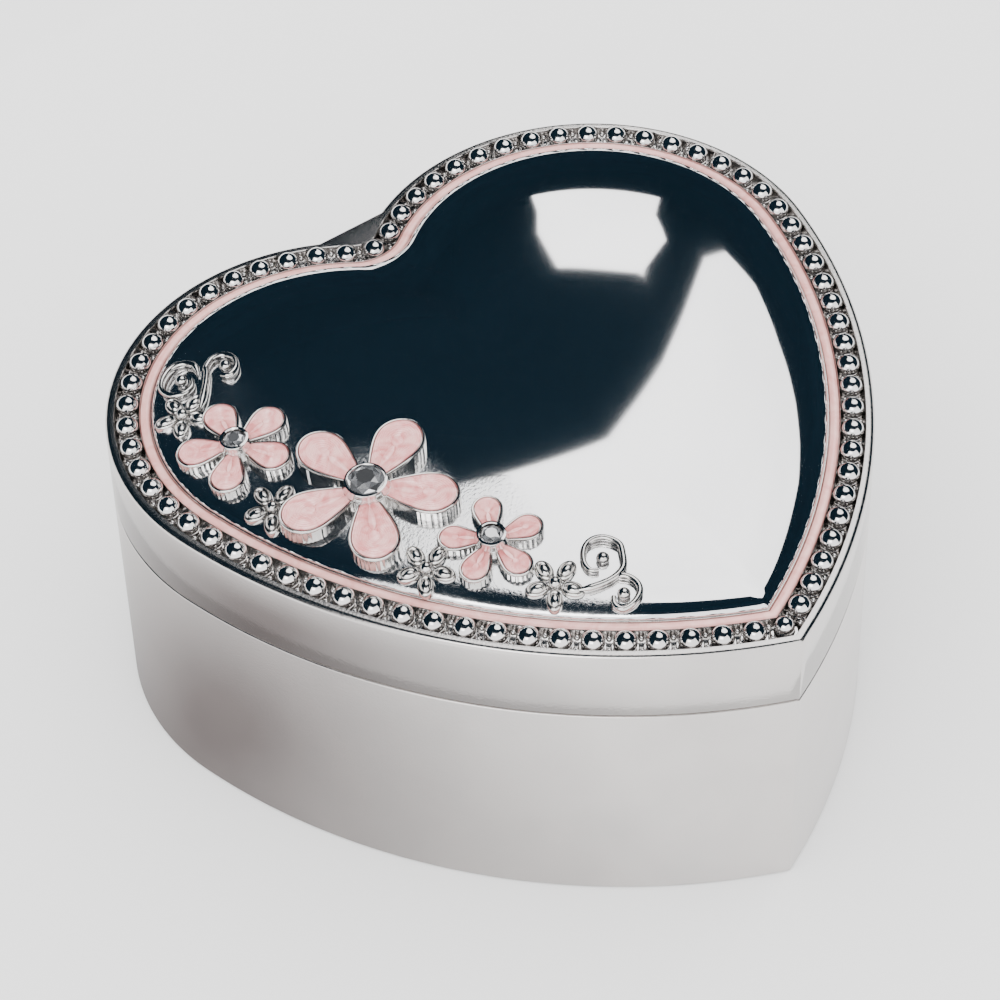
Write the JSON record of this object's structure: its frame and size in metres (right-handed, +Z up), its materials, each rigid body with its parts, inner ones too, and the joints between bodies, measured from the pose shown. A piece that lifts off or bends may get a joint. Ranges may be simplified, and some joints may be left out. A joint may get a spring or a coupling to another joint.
{
  "type": "wind up music box",
  "caption": "Heart-shaped silver musical box with a hinged jewelled enamel-flower lid, a velvet-lined tray and a wind-up comb movement turned by a key under the base.",
  "frame": {"origin": "middle of the box in plan, on the surface it stands on", "axes": "+Z up, -Y towards the point of the heart, +Y towards the cleft and the hinge, +X to the right seen from the point"},
  "size_m": [0.1, 0.0982, 0.0502],
  "materials": {
    "silver_case": "silver plate over a cast case",
    "velvet": "black velvet",
    "felt": "felt",
    "clear_cover": "clear",
    "pink_enamel": "pearly pink enamel",
    "crystal": "clear crystal",
    "steel": "steel",
    "brass": "brass",
    "gold_bed": "gold-coloured plated die casting",
    "white_gear": "acetal",
    "spring_steel": "blued spring steel"
  },
  "bodies": {
    "case": {"base_shell": "silver_case", "bottom_plate": "steel", "bottom_screws": "steel", "base_felt": "felt", "wall_lining": "velvet", "tray_lining": "velvet", "partition": "velvet", "movement_cover": "clear_cover", "hinge_base_leaf": "silver_case", "hinge_pin": "steel", "bedplate": "gold_bed", "comb": "steel", "comb_screws": "steel", "cylinder_bracket": "steel", "clutch_spring": "spring_steel", "barrel_bridge": "steel", "governor_frame": "brass", "plunger_guide": "brass", "plunger_spring": "spring_steel", "frame_screws": "steel", "movement_screws": "steel"},
    "lid": {"lid_shell": "silver_case", "bead_border": "silver_case", "enamel_band": "pink_enamel", "lid_lining": "velvet", "large_flower": "silver_case", "left_flower": "silver_case", "right_flower": "silver_case", "large_petals": "pink_enamel", "left_petals": "pink_enamel", "right_petals": "pink_enamel", "crystal_bezels": "silver_case", "crystals": "crystal", "small_flowers": "silver_case", "upper_scroll": "silver_case", "lower_scroll": "silver_case", "hinge_lid_leaf": "silver_case"},
    "winder": {"winding_key": "silver_case", "winding_arbor": "steel"},
    "cylinder_set": {"pin_cylinder": "brass", "cylinder_pins": "steel", "cylinder_pinion": "brass", "cylinder_wheel": "brass", "cylinder_arbor": "steel"},
    "barrel": {"spring_barrel": "steel", "barrel_cap": "steel", "mainspring": "spring_steel"},
    "governor": {"governor_wheel": "white_gear"},
    "fan": {"air_brake": "steel"},
    "plunger": {"stop_plunger": "steel"}
  },
  "joints": [
    {"name": "lid_hinge", "type": "hinge", "parent": "case", "child": "lid", "pos_m": [0, 0.04746, 0.03283], "axis": [-1, 0, 0], "range_deg": [0, 95]},
    {"name": "stop_slide", "type": "slide", "parent": "case", "child": "plunger", "axis": [0, 0, 1], "range_m": [0, 0.0025], "deforming": ["plunger_spring"]},
    {"name": "key_turn", "type": "hinge", "parent": "case", "child": "winder", "pos_m": [-0.012, 0.01896, 0], "axis": [0, 0, -1], "continuous": true},
    {"name": "cylinder_spin", "type": "hinge", "parent": "case", "child": "cylinder_set", "pos_m": [0, 0.01896, 0.0231], "axis": [1, 0, 0], "continuous": true},
    {"name": "barrel_spin", "type": "hinge", "parent": "case", "child": "barrel", "pos_m": [-0.012, 0.01896, 0], "axis": [0, 0, 1], "continuous": true},
    {"name": "governor_spin", "type": "hinge", "parent": "case", "child": "governor", "pos_m": [0, 0.0259, 0.01728], "axis": [1, 0, 0], "continuous": true},
    {"name": "fan_spin", "type": "hinge", "parent": "case", "child": "fan", "pos_m": [0.0239, 0.03182, 0], "axis": [0, 0, 1], "continuous": true}
  ],
  "couplings": [
    {"joint": "stop_slide", "follows": "lid_hinge", "m_per_rad": 0.0015063},
    {"joint": "barrel_spin", "follows": "cylinder_spin", "ratio": 0.3},
    {"joint": "governor_spin", "follows": "cylinder_spin", "ratio": -5},
    {"joint": "fan_spin", "follows": "cylinder_spin", "ratio": 150}
  ]
}
